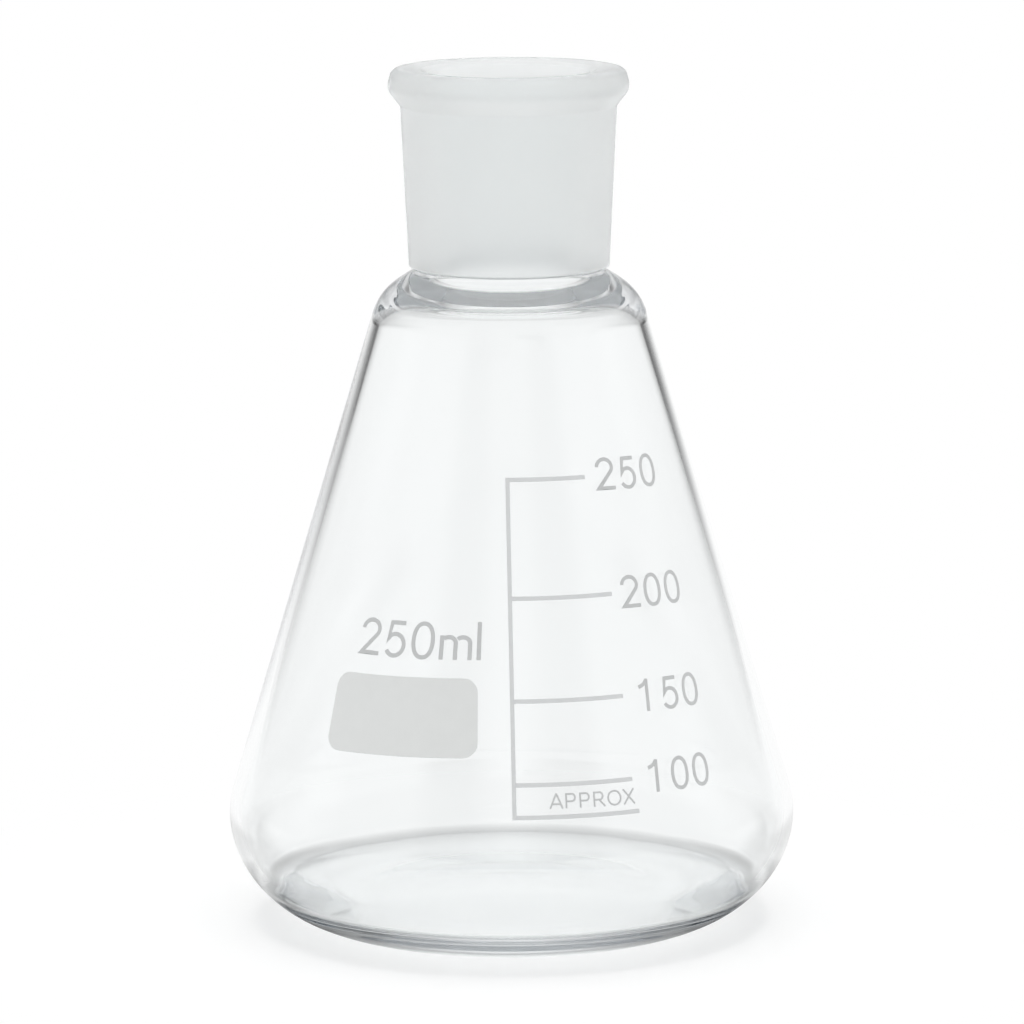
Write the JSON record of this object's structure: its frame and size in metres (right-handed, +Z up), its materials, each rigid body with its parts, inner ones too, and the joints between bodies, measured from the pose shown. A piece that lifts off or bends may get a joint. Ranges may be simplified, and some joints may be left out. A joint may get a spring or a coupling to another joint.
{
  "type": "erlenmeyer flask",
  "caption": "Conical borosilicate laboratory flask with a heavy-walled ground-glass socket, a beaded mouth, an enamel scale and a spot to write on.",
  "frame": {"origin": "centre of the base, on the plane that the flask rests on", "axes": "+Z up along the axis of the flask and out of its mouth, -Y towards the scale, +X to the right of the scale"},
  "size_m": [0.085, 0.085, 0.1284],
  "materials": {
    "borosilicate_glass": "clear, fire-polished",
    "ground_joint_glass": "clear outside, finely ground in the bore",
    "scale_enamel": "fired enamel, light grey, satin",
    "spot_enamel": "fired enamel, off-white, matt"
  },
  "bodies": {
    "root": {"flask_body": "borosilicate_glass", "ground_socket": "ground_joint_glass", "marking_spot": "spot_enamel", "scale_spine": "scale_enamel", "graduation_250": "scale_enamel", "graduation_200": "scale_enamel", "graduation_150": "scale_enamel", "graduation_100": "scale_enamel", "scale_foot_line": "scale_enamel"}
  },
  "joints": []
}
